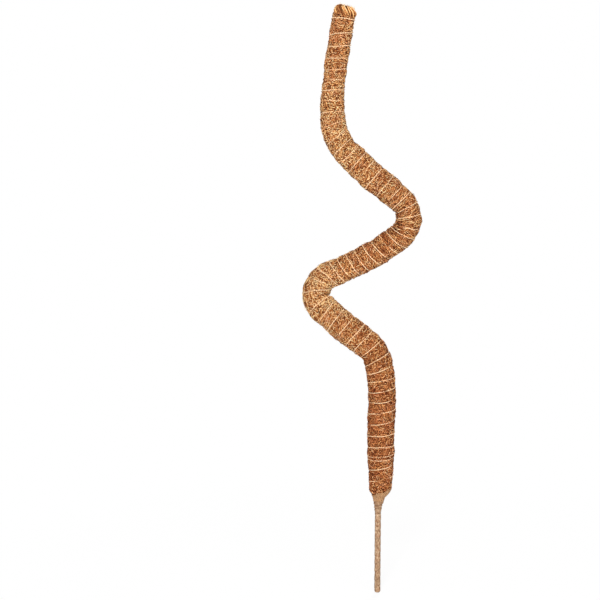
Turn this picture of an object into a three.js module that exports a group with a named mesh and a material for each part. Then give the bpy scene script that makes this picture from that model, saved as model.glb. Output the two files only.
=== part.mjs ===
// Bendable moss pole: a soft iron wire padded with coir and rolled in a coir mat, bound from end to end
// with twine. Below the mat the bare wire is wrapped with jute tape and makes the stake.
// Millimetres, +Z up. The origin is on the stake's axis at the soil line, where the jute collar begins.
// The pole is drawn in the shape it was bent to. Each bend has a pivot group that bends it further.
import * as THREE from "three";

// Driving dimensions, in millimetres and degrees.
const POLE_LENGTH = 560; // from the soil line to the top, along the pole
const POLE_DIAMETER = 25; // over the mat, taken over its whole length
const CLEARANCE = 0.3; // between pieces that touch
const STAKE_LENGTH = 85; // from the soil line down to the tip
const WIRE_DIAMETER = 3.5;
const TAPE_THICKNESS = 0.35; // jute tape, wound with each turn half over the last one
const TAPE_PITCH = 8;
const TIP_FLAT_DIAMETER = 3;
const TIP_ROUNDING = 2;
const TIP_COVER = 1; // tape folded over the end of the wire
const MAT_THICKNESS = 4.2;
const MAT_START = 9; // height of the mat's lower edge above the soil line, along the pole
const GATHER_WALL = 1.3; // the mat's lower edge, drawn in round the stake and pressed thin
const GATHER_LENGTH = 14; // from the drawn-in edge to where the mat is rolled
const GATHER_FULLNESS = 2.5; // higher is rounder
const ROOT_FULLNESS = 0.8; // the rolled mat's share of its full diameter at its lower edge
const ROOT_TAPER = 45; // from the lower edge up to the full diameter
const TIP_FULLNESS = 0.89; // its share at the upper edge
const TIP_TAPER = 45; // from the upper edge down to the full diameter
const COLLAR_OVERLAP = 7; // jute cloth over the gathered end of the mat
const COLLAR_THICKNESS = 0.8;
const PADDING_INSET = 7; // from the mat's lower edge to the padding's lower end
const TUFT_HEIGHT = 9; // the folded end of the mat above the last turn of twine
const TUFT_BULGE = 0.5;
const TUFT_TOP_DIAMETER = 15;
const WIRE_SHORT_OF_TOP = 4; // the wire ends this far below the padding's top
const TWINE_DIAMETER = 1.1;
const TWINE_PITCH = 10; // nearly, as the twine has a whole number of turns
const TWINE_TO_COLLAR = 4.5; // from the collar's upper edge to the first turn
const TWINE_TO_TUFT = 1.5; // from the last turn to the tuft
const KNOT_DIAMETER = 3;

// The pole's course above the soil line. Shares are of the pole's length, and the top length has what is
// left of it. Turns and bows are seen from the front, positive to the left; depth is how far a length
// points away from the front view's plane, positive to the back. Fullness is of the pole's diameter.
const NECK = { outShare: 0.028, outTurn: -9, backShare: 0.0356, backTurn: 11 };
const LENGTHS = [
  { name: "lower", share: 0.128, bow: -6, depth: 0, fullness: 1 },
  { name: "second", share: 0.0713, bow: 3, depth: 9, fullness: 1.07 },
  { name: "third", share: 0.1217, bow: 12, depth: -9, fullness: 0.955 },
  { name: "fourth", share: 0.089, bow: 3, depth: 6, fullness: 1.01 },
  { name: "top", share: 0, bow: -17, depth: 0, fullness: 0.845 },
];
const BENDS = [
  { turn: 53, radiusShare: 0.115 },
  { turn: -118, radiusShare: 0.0371 },
  { turn: 102, radiusShare: 0.0437 },
  { turn: -49, radiusShare: 0.1046 },
];
const FLEX_LENGTH = 34; // of the stretch in the middle of each bend that flexes
const TIP_LEAN = -2; // turn of the tuft

// Facet counts and steps.
const SIDES = 12; // round the mat and padding, and steps in one turn of twine
const WIRE_SIDES = 7;
const WRAP_SIDES = 8;
const TWINE_SIDES = 5;
const BACK_SIDE = Math.round(SIDES / 4); // the side that faces the back
const COURSE_STEP = 0.5;
const LONGEST_FACET = 14;
const WIDEST_TURN = 17; // degrees between two rings
const COLLAR_STEP = 3;
const TUFT_STEPS = 6;
const RINGS_PER_TAPE_TURN = 4;

const radians = THREE.MathUtils.degToRad;

// Sizes that follow from the driving dimensions.
const wireRadius = WIRE_DIAMETER / 2;
const wrapBore = wireRadius + CLEARANCE;
const wrapInnerLayer = wrapBore + TAPE_THICKNESS;
const wrapRadius = wrapInnerLayer + TAPE_THICKNESS;
const twineRadius = TWINE_DIAMETER / 2;
const knotRadius = KNOT_DIAMETER / 2;
const gatherRadius = wrapRadius + CLEARANCE + GATHER_WALL;
const collarEnd = MAT_START + COLLAR_OVERLAP;
const paddingStart = MAT_START + PADDING_INSET;
const twineStart = collarEnd + TWINE_TO_COLLAR;

// The course as stretches of even curvature, from the soil line to the top.
const stretches = [
  { length: NECK.outShare * POLE_LENGTH, turn: NECK.outTurn, depth: 0 },
  { length: NECK.backShare * POLE_LENGTH, turn: NECK.backTurn, depth: 0 },
];
LENGTHS.forEach((part, i) => {
  stretches.push({ length: part.share * POLE_LENGTH, turn: part.bow, depth: part.depth });
  if (BENDS[i]) {
    const { turn, radiusShare } = BENDS[i];
    const radius = radiusShare * POLE_LENGTH;
    const length = radius * Math.abs(radians(turn));
    stretches.push({ length, turn, radius, depth: LENGTHS[i + 1].depth });
  }
});
const topStretch = stretches.at(-1);
stretches.push({ length: TUFT_HEIGHT, turn: TIP_LEAN, depth: LENGTHS.at(-1).depth });
topStretch.length = POLE_LENGTH - stretches.reduce((sum, stretch) => sum + stretch.length, 0);

// The unit heading of the pole where it leans to the left and points to the back by these angles.
function heading(lean, depth) {
  const x = -Math.sin(radians(lean)) * Math.cos(radians(depth));
  const z = Math.cos(radians(lean)) * Math.cos(radians(depth));
  return new THREE.Vector3(x, Math.sin(radians(depth)), z);
}

// Stations along the course, each with its point and a frame that doesn't twist about the heading.
// The first station is the stake's tip, and the way along is 0 at the soil line.
function layCourse() {
  const right = new THREE.Vector3(1, 0, 0);
  const up = heading(0, 0);
  const tip = new THREE.Vector3(0, 0, -STAKE_LENGTH);
  const stations = [
    { way: -STAKE_LENGTH, point: tip, ahead: up, side: right },
    { way: 0, point: new THREE.Vector3(), ahead: up, side: right },
  ];
  let lean = 0;
  let depth = 0;
  let way = 0;
  for (const stretch of stretches) {
    stretch.from = way;
    stretch.before = heading(lean, depth);
    const steps = Math.max(2, Math.ceil(stretch.length / COURSE_STEP));
    const step = stretch.length / steps;
    for (let i = 0; i < steps; i++) {
      const last = stations.at(-1);
      const share = (i + 0.5) / steps;
      const depthHere = THREE.MathUtils.lerp(depth, stretch.depth, share);
      const ahead = heading(lean + stretch.turn * share, depthHere);
      const point = last.point.clone().addScaledVector(ahead, step);
      const side = last.side.clone();
      side.addScaledVector(ahead, -side.dot(ahead)).normalize();
      way += step;
      stations.push({ way, point, ahead, side });
    }
    lean += stretch.turn;
    depth = stretch.depth;
    stretch.to = way;
    stretch.after = heading(lean, depth);
  }
  return stations;
}

const stations = layCourse();
const topEnd = stations.at(-1).way;
const matEnd = topEnd - TUFT_HEIGHT;

// The point, heading, side and back directions at a way along the course.
function courseAt(way) {
  let next = stations.findIndex((station) => station.way >= way);
  next = next < 0 ? stations.length - 1 : Math.max(1, next);
  const a = stations[next - 1];
  const b = stations[next];
  const share = (way - a.way) / (b.way - a.way);
  const ahead = a.ahead.clone().lerp(b.ahead, share).normalize();
  const side = a.side.clone().lerp(b.side, share);
  side.addScaledVector(ahead, -side.dot(ahead)).normalize();
  const back = new THREE.Vector3().crossVectors(ahead, side);
  return { point: a.point.clone().lerp(b.point, share), ahead, side, back };
}

// A point at a way along the course, at an angle and a radius round it.
function around(way, angle, radius) {
  const { point, side, back } = courseAt(way);
  point.addScaledVector(side, radius * Math.cos(angle));
  return point.addScaledVector(back, radius * Math.sin(angle));
}

// Radii of the rolled pole along its course.
const bendStretches = stretches.filter((stretch) => stretch.radius);

function fullRadius(way) {
  let fullness = LENGTHS[0].fullness;
  bendStretches.forEach((stretch, i) => {
    const share = THREE.MathUtils.smoothstep(way, stretch.from, stretch.to);
    fullness += share * (LENGTHS[i + 1].fullness - LENGTHS[i].fullness);
  });
  return (fullness * POLE_DIAMETER) / 2;
}

function rolledRadius(way) {
  const root = THREE.MathUtils.smoothstep(way, MAT_START, MAT_START + ROOT_TAPER);
  const tip = THREE.MathUtils.smoothstep(way, matEnd - TIP_TAPER, matEnd);
  const atRoot = THREE.MathUtils.lerp(ROOT_FULLNESS, 1, root);
  return fullRadius(way) * atRoot * THREE.MathUtils.lerp(1, TIP_FULLNESS, tip);
}

function matRadius(way) {
  const gathered = THREE.MathUtils.clamp((way - MAT_START) / GATHER_LENGTH, 0, 1);
  const share = 1 - (1 - gathered) ** GATHER_FULLNESS;
  return THREE.MathUtils.lerp(gatherRadius, rolledRadius(way), share);
}

function matBore(way) {
  return Math.max(wrapRadius + CLEARANCE, matRadius(way) - MAT_THICKNESS);
}

function paddingRadius(way) {
  return matBore(way) - CLEARANCE;
}

// Evenly spaced ways from one to another, no further apart than the step.
function spaced(from, to, step) {
  const count = Math.max(1, Math.ceil((to - from) / step));
  return Array.from({ length: count + 1 }, (_, i) => from + ((to - from) * i) / count);
}

// Ways that every layer has its rings at, closer together where the pole turns, so layers stay parallel.
const sharedWays = [-STAKE_LENGTH, -STAKE_LENGTH / 2];
for (const stretch of stretches) {
  const turnStep = (stretch.length * WIDEST_TURN) / Math.abs(stretch.turn);
  sharedWays.push(...spaced(stretch.from, stretch.to, Math.min(LONGEST_FACET, turnStep)).slice(0, -1));
}
sharedWays.push(paddingStart);
sharedWays.sort((a, b) => a - b);

function layerWays(from, to) {
  const between = sharedWays.filter((way) => way > from + CLEARANCE && way < to - CLEARANCE);
  return [from, ...between, to];
}

// A ring of points round the course. The radius is a number, or a function of the angle.
function ring(way, radius, sides) {
  return Array.from({ length: sides }, (_, k) => {
    const angle = (2 * Math.PI * k) / sides;
    return around(way, angle, typeof radius === "function" ? radius(angle) : radius);
  });
}

function rings(ways, radiusAt, sides) {
  return ways.map((way) => ring(way, radiusAt(way), sides));
}

// A closed solid from rings of equal point counts: an outside skin and, if given, a bore.
// A bore that starts short of the outside's first ring is blind there.
function tubeGeometry(outer, inner = null, blindStart = false) {
  const points = [];
  const faces = [];
  const sides = outer[0].length;
  const add = (list) => list.map((p) => points.push(p) - 1);
  const skin = (loops) => {
    for (let i = 0; i + 1 < loops.length; i++) {
      for (let k = 0; k < sides; k++) {
        const next = (k + 1) % sides;
        const [a, b, c, d] = [loops[i][k], loops[i][next], loops[i + 1][next], loops[i + 1][k]];
        faces.push([a, b, c], [a, c, d]);
      }
    }
  };
  const lid = (loop) => {
    const middle = new THREE.Vector3();
    loop.forEach((index) => middle.addScaledVector(points[index], 1 / sides));
    const centre = points.push(middle) - 1;
    loop.forEach((index, k) => faces.push([centre, index, loop[(k + 1) % sides]]));
  };
  const outside = outer.map(add);
  skin(outside);
  if (!inner) {
    lid(outside[0].toReversed());
    lid(outside.at(-1));
    return solid(points, faces);
  }
  const inside = inner.map((loop) => add(loop).toReversed());
  skin(inside);
  const rim = (outLoop, inLoop) => skin([outLoop, inLoop]);
  rim(outside.at(-1), inside.at(-1).toReversed());
  if (blindStart) {
    lid(outside[0].toReversed());
    lid(inside[0].toReversed());
  } else {
    rim(outside[0].toReversed(), inside[0]);
  }
  return solid(points, faces);
}

function solid(points, faces) {
  const geometry = new THREE.BufferGeometry().setFromPoints(points);
  geometry.setIndex(faces.flat());
  geometry.computeVertexNormals();
  return geometry;
}

// Materials.
const coir = new THREE.MeshStandardMaterial({ color: 0xb27340, roughness: 0.95 });
const coirFilling = new THREE.MeshStandardMaterial({ color: 0x8a5528, roughness: 0.95 });
const twine = new THREE.MeshStandardMaterial({ color: 0xe2b887, roughness: 0.85 });
const jute = new THREE.MeshStandardMaterial({ color: 0xbb9468, roughness: 0.9 });
const iron = new THREE.MeshStandardMaterial({ color: 0x8d9093, roughness: 0.45, metalness: 0.9 });

// A bend's pivot lies just outside the wire, where straightening the bend keeps the pole's length.
function pivotPoint(stretch) {
  const { turn, radius } = stretch;
  const half = Math.abs(radians(turn)) / 2;
  const wireToCorner = radius * (1 / Math.cos(half) - 1);
  const pivotToCorner = (radius * (Math.tan(half) - half)) / Math.sin(half);
  const outward = stretch.before.clone().sub(stretch.after).normalize();
  const middle = courseAt((stretch.from + stretch.to) / 2).point;
  return middle.addScaledVector(outward, wireToCorner - pivotToCorner);
}

// The pole and its chain of pivots, one at each bend.
const pole = new THREE.Group();
const carriers = [pole];
const offsets = [new THREE.Vector3()];
bendStretches.forEach((stretch, i) => {
  const pivot = new THREE.Group();
  const point = pivotPoint(stretch);
  pivot.position.copy(point).sub(offsets[i]);
  pivot.userData.axis = new THREE.Vector3().crossVectors(stretch.before, stretch.after).normalize();
  carriers[i].add(pivot);
  carriers.push(pivot);
  offsets.push(point);
});

function addPiece(name, geometry, material, carrier) {
  const shift = offsets[carrier];
  const mesh = new THREE.Mesh(geometry.translate(-shift.x, -shift.y, -shift.z), material);
  mesh.name = name;
  carriers[carrier].add(mesh);
  return mesh;
}

// The pole is cut at both ends of each flexing stretch. A cut leaves the usual clearance.
const cuts = [];
let cutFrom = -STAKE_LENGTH;
LENGTHS.forEach((part, i) => {
  const stretch = bendStretches[i];
  const middle = stretch ? (stretch.from + stretch.to) / 2 : Infinity;
  const flexFrom = stretch ? middle - FLEX_LENGTH / 2 : topEnd;
  cuts.push({ name: part.name, from: cutFrom, to: flexFrom, carrier: i });
  if (stretch) {
    cutFrom = middle + FLEX_LENGTH / 2;
    cuts.push({ name: `bend_${i + 1}`, from: flexFrom, to: cutFrom, carrier: i });
  }
});

// The ways of one cut piece of something that runs from start to end along the course.
function pieceWays(cut, start, end) {
  const from = Math.max(cut.from + CLEARANCE / 2, start);
  const to = Math.min(cut.to - CLEARANCE / 2, end);
  return layerWays(from, to);
}

// The twine's turns: points round the mat, one for each of its sides, starting and ending at the back.
const twineLength = matEnd - TWINE_TO_TUFT - twineStart;
const twineTurns = Math.round(twineLength / TWINE_PITCH);
const twinePoints = Array.from({ length: twineTurns * SIDES + 1 }, (_, i) => {
  const turned = i / SIDES;
  const way = twineStart + (twineLength * turned) / twineTurns;
  const angle = (2 * Math.PI * (BACK_SIDE + i)) / SIDES;
  const middle = courseAt(way).point;
  const point = around(way, angle, matRadius(way) + CLEARANCE + twineRadius);
  return { way, point, outward: point.clone().sub(middle).normalize() };
});

// One unbroken length of twine between two ways. A cut falls in the middle of a straight step.
function twineGeometry(from, to) {
  const run = twinePoints.filter((p) => p.way > from && p.way < to);
  const first = twinePoints.indexOf(run[0]);
  const middleTo = (end, beyond) => {
    const reach = beyond.point.clone().sub(end.point);
    const length = reach.length() / 2 - CLEARANCE / 2;
    return { point: end.point.clone().addScaledVector(reach.normalize(), length), outward: end.outward };
  };
  const path = [...run];
  if (first > 0) {
    path.unshift(middleTo(run[0], twinePoints[first - 1]));
  }
  if (first + run.length < twinePoints.length) {
    path.push(middleTo(run.at(-1), twinePoints[first + run.length]));
  }
  const sections = path.map(({ point, outward }, i) => {
    const before = path[Math.max(0, i - 1)].point;
    const after = path[Math.min(path.length - 1, i + 1)].point;
    const ahead = after.clone().sub(before).normalize();
    const across = new THREE.Vector3().crossVectors(ahead, outward).normalize();
    const out = new THREE.Vector3().crossVectors(across, ahead);
    return Array.from({ length: TWINE_SIDES }, (_, k) => {
      const angle = (2 * Math.PI * k) / TWINE_SIDES;
      const corner = point.clone().addScaledVector(out, twineRadius * Math.cos(angle));
      return corner.addScaledVector(across, twineRadius * Math.sin(angle));
    });
  });
  return tubeGeometry(sections);
}

// A knot where the winding ends, lying on the mat just past the last point of the twine.
function addKnot(name, end, before, carrier) {
  const ahead = end.point.clone().sub(before.point).normalize();
  const geometry = new THREE.SphereGeometry(knotRadius, 8, 6);
  const place = end.point.clone().addScaledVector(ahead, CLEARANCE + knotRadius);
  place.addScaledVector(end.outward, knotRadius - twineRadius);
  geometry.translate(place.x, place.y, place.z);
  addPiece(name, geometry, twine, carrier);
}

// Wire, padding, mat and twine, length by length and bend by bend.
const wireStart = -STAKE_LENGTH + TIP_COVER + CLEARANCE;
const wireEnd = matEnd - WIRE_SHORT_OF_TOP;
for (const cut of cuts) {
  const wireRings = rings(pieceWays(cut, wireStart, wireEnd), () => wireRadius, WIRE_SIDES);
  addPiece(`core_wire_${cut.name}`, tubeGeometry(wireRings), iron, cut.carrier);

  const padding = pieceWays(cut, paddingStart, matEnd);
  const paddingSkin = rings(padding, paddingRadius, SIDES);
  const paddingBore = rings(padding, () => wireRadius + CLEARANCE, SIDES);
  addPiece(`inner_padding_${cut.name}`, tubeGeometry(paddingSkin, paddingBore), coirFilling, cut.carrier);

  const mat = pieceWays(cut, MAT_START, matEnd);
  const matSkin = rings(mat, matRadius, SIDES);
  const matInside = rings(mat, matBore, SIDES);
  addPiece(`coir_mat_${cut.name}`, tubeGeometry(matSkin, matInside), coir, cut.carrier);

  addPiece(`binding_twine_${cut.name}`, twineGeometry(cut.from, cut.to), twine, cut.carrier);
}
const topCarrier = carriers.length - 1;
addKnot("twine_knot_lower", twinePoints[0], twinePoints[1], 0);
addKnot("twine_knot_top", twinePoints.at(-1), twinePoints.at(-2), topCarrier);

// The stake's jute tape: a wound sleeve whose outside steps up once in each turn, closed over the tip.
function wrapSkin(way) {
  const fromTip = way + STAKE_LENGTH;
  const rounding = THREE.MathUtils.clamp(fromTip / TIP_ROUNDING, 0, 1);
  const round = Math.sqrt(1 - (1 - rounding) ** 2);
  return (angle) => {
    const turned = fromTip / TAPE_PITCH + angle / (2 * Math.PI);
    const layered = wrapInnerLayer + TAPE_THICKNESS * (turned - Math.floor(turned));
    return THREE.MathUtils.lerp(TIP_FLAT_DIAMETER / 2, layered, round);
  };
}
const wrapEnd = paddingStart - CLEARANCE;
const wrapWays = spaced(-STAKE_LENGTH, wrapEnd, TAPE_PITCH / RINGS_PER_TAPE_TURN);
wrapWays.splice(1, 0, -STAKE_LENGTH + TIP_ROUNDING / 4);
const wrapOutside = rings(wrapWays, wrapSkin, WRAP_SIDES);
const wrapInside = rings(layerWays(wireStart - CLEARANCE, wrapEnd), () => wrapBore, WRAP_SIDES);
addPiece("stake_wrap", tubeGeometry(wrapOutside, wrapInside, true), jute, 0);

// The jute collar: from the stake up over the gathered end of the mat.
function collarBore(way) {
  const flare = Math.min(1, way / MAT_START) ** 2;
  return THREE.MathUtils.lerp(wrapRadius, matRadius(way), flare) + CLEARANCE;
}
const collarWays = spaced(0, collarEnd, COLLAR_STEP);
const collarInside = rings(collarWays, collarBore, SIDES);
const collarOutside = rings(collarWays, (way) => collarBore(way) + COLLAR_THICKNESS, SIDES);
addPiece("jute_collar", tubeGeometry(collarOutside, collarInside), jute, 0);

// The tuft: the mat's folded end above the last turn of twine.
const tuftStart = matEnd + CLEARANCE;
function tuftRadius(way) {
  const share = (way - tuftStart) / (topEnd - tuftStart);
  const swell = matRadius(matEnd) + TUFT_BULGE * Math.sin(Math.PI * share);
  return THREE.MathUtils.lerp(swell, TUFT_TOP_DIAMETER / 2, share ** 4);
}
const tuftRings = rings(spaced(tuftStart, topEnd, TUFT_HEIGHT / TUFT_STEPS), tuftRadius, SIDES);
addPiece("coir_tuft", tubeGeometry(tuftRings), coir, topCarrier);

// The least gap between one turn of the twine and the next.
let leastGap = Infinity;
twinePoints.forEach((a, i) => {
  for (const b of twinePoints.slice(i + SIDES / 2)) {
    leastGap = Math.min(leastGap, a.point.distanceTo(b.point) - TWINE_DIAMETER);
  }
});
console.log(`Twine: ${twineTurns} turns, least gap between turns ${leastGap.toFixed(2)} mm`);

export default pole;
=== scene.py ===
import math

import bpy
import numpy as np
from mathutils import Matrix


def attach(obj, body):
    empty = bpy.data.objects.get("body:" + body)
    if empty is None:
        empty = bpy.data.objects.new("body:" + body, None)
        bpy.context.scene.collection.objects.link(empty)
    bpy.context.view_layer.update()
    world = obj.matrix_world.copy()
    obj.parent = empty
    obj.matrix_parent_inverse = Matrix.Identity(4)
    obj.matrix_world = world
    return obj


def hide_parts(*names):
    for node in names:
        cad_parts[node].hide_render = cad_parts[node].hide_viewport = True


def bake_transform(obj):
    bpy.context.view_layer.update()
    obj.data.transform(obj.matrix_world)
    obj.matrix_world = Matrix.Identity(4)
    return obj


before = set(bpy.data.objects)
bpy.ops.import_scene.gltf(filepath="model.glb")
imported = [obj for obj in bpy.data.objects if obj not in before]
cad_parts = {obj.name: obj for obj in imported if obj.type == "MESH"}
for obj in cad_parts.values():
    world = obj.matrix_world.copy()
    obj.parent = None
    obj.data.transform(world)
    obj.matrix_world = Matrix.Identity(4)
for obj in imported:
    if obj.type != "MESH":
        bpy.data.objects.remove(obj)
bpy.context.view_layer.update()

MM = 0.001
TURN = 2 * math.pi

# The pole's sizes, in millimetres, as in the CAD
POLE_LENGTH = 560
POLE_DIAMETER = 25
STAKE_LENGTH = 85
WIRE_RADIUS = 1.75
TAPE_BORE = 2.05
TAPE_THICKNESS = 0.35
TAPE_PITCH = 8
MAT_START = 9
MAT_THICKNESS = 4.2
GATHER_RADIUS = 4.35
GATHER_LENGTH = 14
GATHER_FULLNESS = 2.5
ROOT_FULLNESS = 0.8
ROOT_TAPER = 45
TIP_FULLNESS = 0.89
TIP_TAPER = 45
TUFT_HEIGHT = 9

# The course as in the CAD: the lengths' shares of the pole, bows and depths in degrees, and fullness
NECK = ((0.028, -9), (0.0356, 11))
LENGTHS = ("lower", "second", "third", "fourth", "top")
SHARES = (0.128, 0.0713, 0.1217, 0.089, 0)
BOWS = (-6, 3, 12, 3, -17)
DEPTHS = (0, 9, -9, 6, 0)
FULLNESS = (1.0, 1.07, 0.955, 1.01, 0.845)
BENDS = ((53, 0.115), (-118, 0.0371), (102, 0.0437), (-49, 0.1046))
TIP_LEAN = -2
COURSE_STEP = 0.5


# Course of the pole
def heading(lean, depth):
    """The unit heading where the pole leans to the left and points to the back by these angles."""
    lean = math.radians(lean)
    depth = math.radians(depth)
    x = -math.sin(lean) * math.cos(depth)
    z = math.cos(lean) * math.cos(depth)
    return np.array((x, math.sin(depth), z))


def course_stretches():
    """Stretches of even curvature, from the soil line to the top."""
    found = [{"length": share * POLE_LENGTH, "turn": turn, "depth": 0} for share, turn in NECK]
    for i, depth in enumerate(DEPTHS):
        found.append({"length": SHARES[i] * POLE_LENGTH, "turn": BOWS[i], "depth": depth})
        if i < len(BENDS):
            turn, radius_share = BENDS[i]
            arc = radius_share * POLE_LENGTH * abs(math.radians(turn))
            found.append({"length": arc, "turn": turn, "depth": DEPTHS[i + 1], "bend": i})
    top = found[-1]
    found.append({"length": TUFT_HEIGHT, "turn": TIP_LEAN, "depth": 0})
    top["length"] = POLE_LENGTH - sum(stretch["length"] for stretch in found)
    return found


def lay_course(stretches):
    """Ways, points, headings and side directions of stations along the pole, from below its tip."""
    up = np.array((0.0, 0.0, 1.0))
    side = np.array((1.0, 0.0, 0.0))
    point = np.zeros(3)
    way = 0.0
    lean = 0.0
    depth = 0.0
    stations = [(-2 * STAKE_LENGTH, -2 * STAKE_LENGTH * up, up, side), (0.0, point, up, side)]
    for stretch in stretches:
        stretch["from"] = way
        stretch["before"] = heading(lean, depth)
        steps = max(2, math.ceil(stretch["length"] / COURSE_STEP))
        step = stretch["length"] / steps
        for i in range(steps):
            share = (i + 0.5) / steps
            ahead = heading(lean + stretch["turn"] * share, depth + (stretch["depth"] - depth) * share)
            point = point + step * ahead
            side = side - side.dot(ahead) * ahead
            side = side / np.linalg.norm(side)
            way += step
            stations.append((way, point, ahead, side))
        lean += stretch["turn"]
        depth = stretch["depth"]
        stretch["to"] = way
        stretch["after"] = heading(lean, depth)
    stations.append((way + STAKE_LENGTH, point + STAKE_LENGTH * ahead, ahead, side))
    return [np.array(column) for column in zip(*stations)]


stretches = course_stretches()
station_way, station_point, station_ahead, station_side = lay_course(stretches)
bend_stretches = [stretch for stretch in stretches if "bend" in stretch]
bend_middles = [(stretch["from"] + stretch["to"]) / 2 for stretch in bend_stretches]
TOP_END = stretches[-1]["to"]
MAT_END = TOP_END - TUFT_HEIGHT


def unit(vectors):
    return vectors / np.linalg.norm(vectors, axis=-1, keepdims=True)


def course_at(way):
    """Points and heading, side and back directions at ways along the course."""

    def read(column):
        return np.stack([np.interp(way, station_way, column[:, k]) for k in range(3)], -1)

    ahead = unit(read(station_ahead))
    side = read(station_side)
    side = unit(side - (side * ahead).sum(-1, keepdims=True) * ahead)
    return read(station_point), ahead, side, np.cross(ahead, side)


def around(way, angle, radius):
    """Points at angles and radii round the course, and the directions outward there."""
    way, angle, radius = np.broadcast_arrays(way, angle, radius)
    point, _, side, back = course_at(way)
    outward = np.cos(angle)[..., None] * side + np.sin(angle)[..., None] * back
    return point + radius[..., None] * outward, outward


# Helpers for uneven shapes
def smooth(low, high, x):
    share = np.clip((x - low) / (high - low), 0, 1)
    return share * share * (3 - 2 * share)


def hump(x, middle, width):
    return np.exp(-(((x - middle) / width) ** 2))


def table_at(x, table):
    """The value at x from a table of places and values."""
    return np.interp(x, *np.array(table).T)


def waves_at(x, waves):
    """The sum at x of sine waves, each with its size, rate and start."""
    return sum(size * np.sin(rate * x + start) for size, rate, start in waves)


def uneven(seed, wavelength, waves=16, most_round=5):
    """An uneven function of the way along the pole and the angle round it, of about unit size."""
    rng = np.random.default_rng(seed)
    along = TURN / (wavelength * rng.uniform(0.6, 1.9, waves))
    lobes = rng.integers(-most_round, most_round + 1, waves)
    phase = rng.uniform(0, TURN, waves)

    def value(way, angle):
        total = 0.0
        for k in range(waves):
            total = total + np.sin(along[k] * way + lobes[k] * angle + phase[k])
        return total / math.sqrt(waves / 2)

    return value


# Twine's winding: the way along at counted turns, close in some places and wide in others
TWINE_COUNT = (
    (0, 20.5), (0.5, 28), (1.5, 39.7), (2.5, 48.3), (3.5, 50.2), (4.5, 59.3), (7.5, 93.3), (9.5, 113.6),
    (12.5, 141.4), (13.5, 154), (15.5, 172.5), (18.5, 206.4), (20.5, 232), (25.5, 272), (29.5, 310.6),
    (33.5, 342), (36.5, 365.3), (38.5, 390.3), (42.5, 430.6), (45.5, 464.2), (50.5, 512), (52.5, 533.9),
    (53.5, 549), (54, 550.7),
)

# How far the twine's turns tilt up to the right, along the pole
TWINE_TILT = (
    (28, 0.4), (60, -0.6), (72, -0.8), (82, 0.7), (113, 1.0), (124, -1.4), (206, -1.6), (219, 2.6),
    (248, 2.6), (272, -0.3), (300, 1.6), (320, 0.5), (336, -1.0), (349, 0.8), (365, -1.8), (420, -2.2),
    (431, 0.7), (442, 0.8), (472, -1.4), (512, -0.3), (523, 0.6), (534, 0.5), (549, -0.4),
)
TWINE_TURNS = TWINE_COUNT[-1][0]
TWINE_FIRST_ANGLE = math.pi / 2
TWINE_EASE = np.linspace(-0.3, 0.3, 9)
TWINE_WOBBLES = ((0.25, 0.47, 2.1), (0.3, 0.83, 4.4), (0.2, 1.37, 1.3), (0.12, 2.1, 5.2))
HELD_FIRST = 9
HELD_LAST = 18


def level_way(turned):
    """The way along where the twine has turned by this angle, before its tilt."""
    eased = [table_at(turned / TURN + ease, TWINE_COUNT) for ease in TWINE_EASE]
    return sum(eased) / len(eased)


def tilted(way, angle):
    return table_at(way, TWINE_TILT) * np.cos(angle)


def twine_way(turned):
    """The way along where the twine has turned by this angle."""
    level = level_way(turned)
    held = smooth(0, HELD_FIRST, turned) * smooth(0, HELD_LAST, TURN * TWINE_TURNS - turned)
    return level + held * waves_at(turned, TWINE_WOBBLES) + tilted(level, TWINE_FIRST_ANGLE + turned)


turned_table = np.linspace(0, TURN * TWINE_TURNS, num=6000)
level_table = level_way(turned_table)


def to_twine(way, angle):
    """How far along the pole it is from here to the nearest turn of the twine."""
    phase = angle - TWINE_FIRST_ANGLE
    level = way - tilted(way, angle)
    middle = np.round((np.interp(level, level_table, turned_table) - phase) / TURN)
    first = np.ceil(-phase / TURN)
    last = np.floor(TWINE_TURNS - phase / TURN)
    nearby = [np.clip(middle + off, first, last) for off in (-1, 0, 1)]
    return np.min([np.abs(way - twine_way(phase + TURN * turns)) for turns in nearby], axis=0)


# Radii of the rolled mat
def mat_radius(way):
    """Radius of the plain mat, as in the CAD."""
    fullness = FULLNESS[0]
    for stretch, more in zip(bend_stretches, np.diff(FULLNESS)):
        fullness = fullness + smooth(stretch["from"], stretch["to"], way) * more
    from_root = smooth(MAT_START, MAT_START + ROOT_TAPER, way)
    fullness = fullness * (ROOT_FULLNESS + (1 - ROOT_FULLNESS) * from_root)
    to_tip = smooth(MAT_END - TIP_TAPER, MAT_END, way)
    fullness = fullness * (1 + (TIP_FULLNESS - 1) * to_tip)
    gathered = np.clip((way - MAT_START) / GATHER_LENGTH, 0, 1)
    share = 1 - (1 - gathered) ** GATHER_FULLNESS
    return GATHER_RADIUS + share * (fullness * POLE_DIAMETER / 2 - GATHER_RADIUS)


MAT_SWELL = 0.45
MAT_SUNK = 0.5
TWINE_BITE = 1.7
BIG_LUMP = 0.22
SMALL_LUMP = 0.12
big_lumps = uneven(seed=11, wavelength=26)
small_lumps = uneven(seed=12, wavelength=9, most_round=9)

# How the mat fills out on the outside of each bend and draws in on its inside
BEND_OUT = (1.0, 1.7, 1.0, 0.9)
BEND_IN = (1.0, 1.2, 1.0, 0.8)
BEND_SHARE = 0.38

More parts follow.
